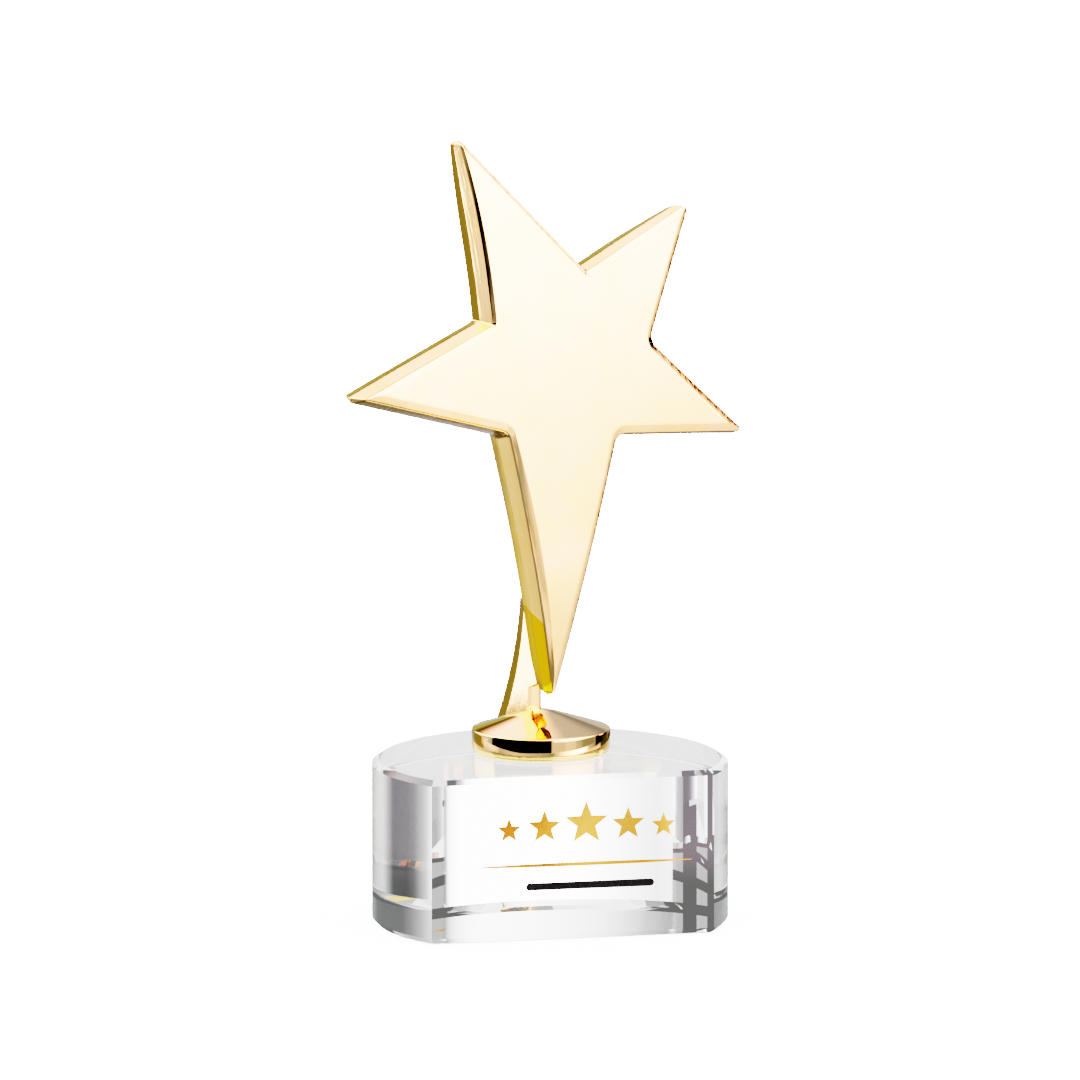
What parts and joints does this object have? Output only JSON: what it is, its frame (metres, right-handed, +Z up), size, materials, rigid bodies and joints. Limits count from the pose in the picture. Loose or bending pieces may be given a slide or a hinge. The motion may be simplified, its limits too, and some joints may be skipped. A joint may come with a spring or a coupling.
{
  "type": "star trophy",
  "caption": "Award with an asymmetric gold star on a curved leg and domed disc, standing on a clear crystal block with a flat front facet.",
  "frame": {"origin": "centre of the crystal's round plan, on its underside", "axes": "+Z up, -Y out of the crystal's flat front facet, +X to the right seen from the front"},
  "size_m": [0.1143, 0.0737, 0.2074],
  "materials": {
    "crystal": "polished clear optical crystal",
    "adhesive": "clear cured adhesive",
    "gold_plate": "polished gold plate on a casting",
    "bright_steel": "ground",
    "zinc_steel": "zinc plated"
  },
  "bodies": {
    "root": {"crystal_base": "crystal", "bond_ring": "adhesive", "base_disc": "gold_plate", "support_leg": "gold_plate", "star": "gold_plate", "lower_dowel": "bright_steel", "upper_dowel": "bright_steel", "leg_screw": "zinc_steel", "screw_washer": "zinc_steel"}
  },
  "joints": []
}
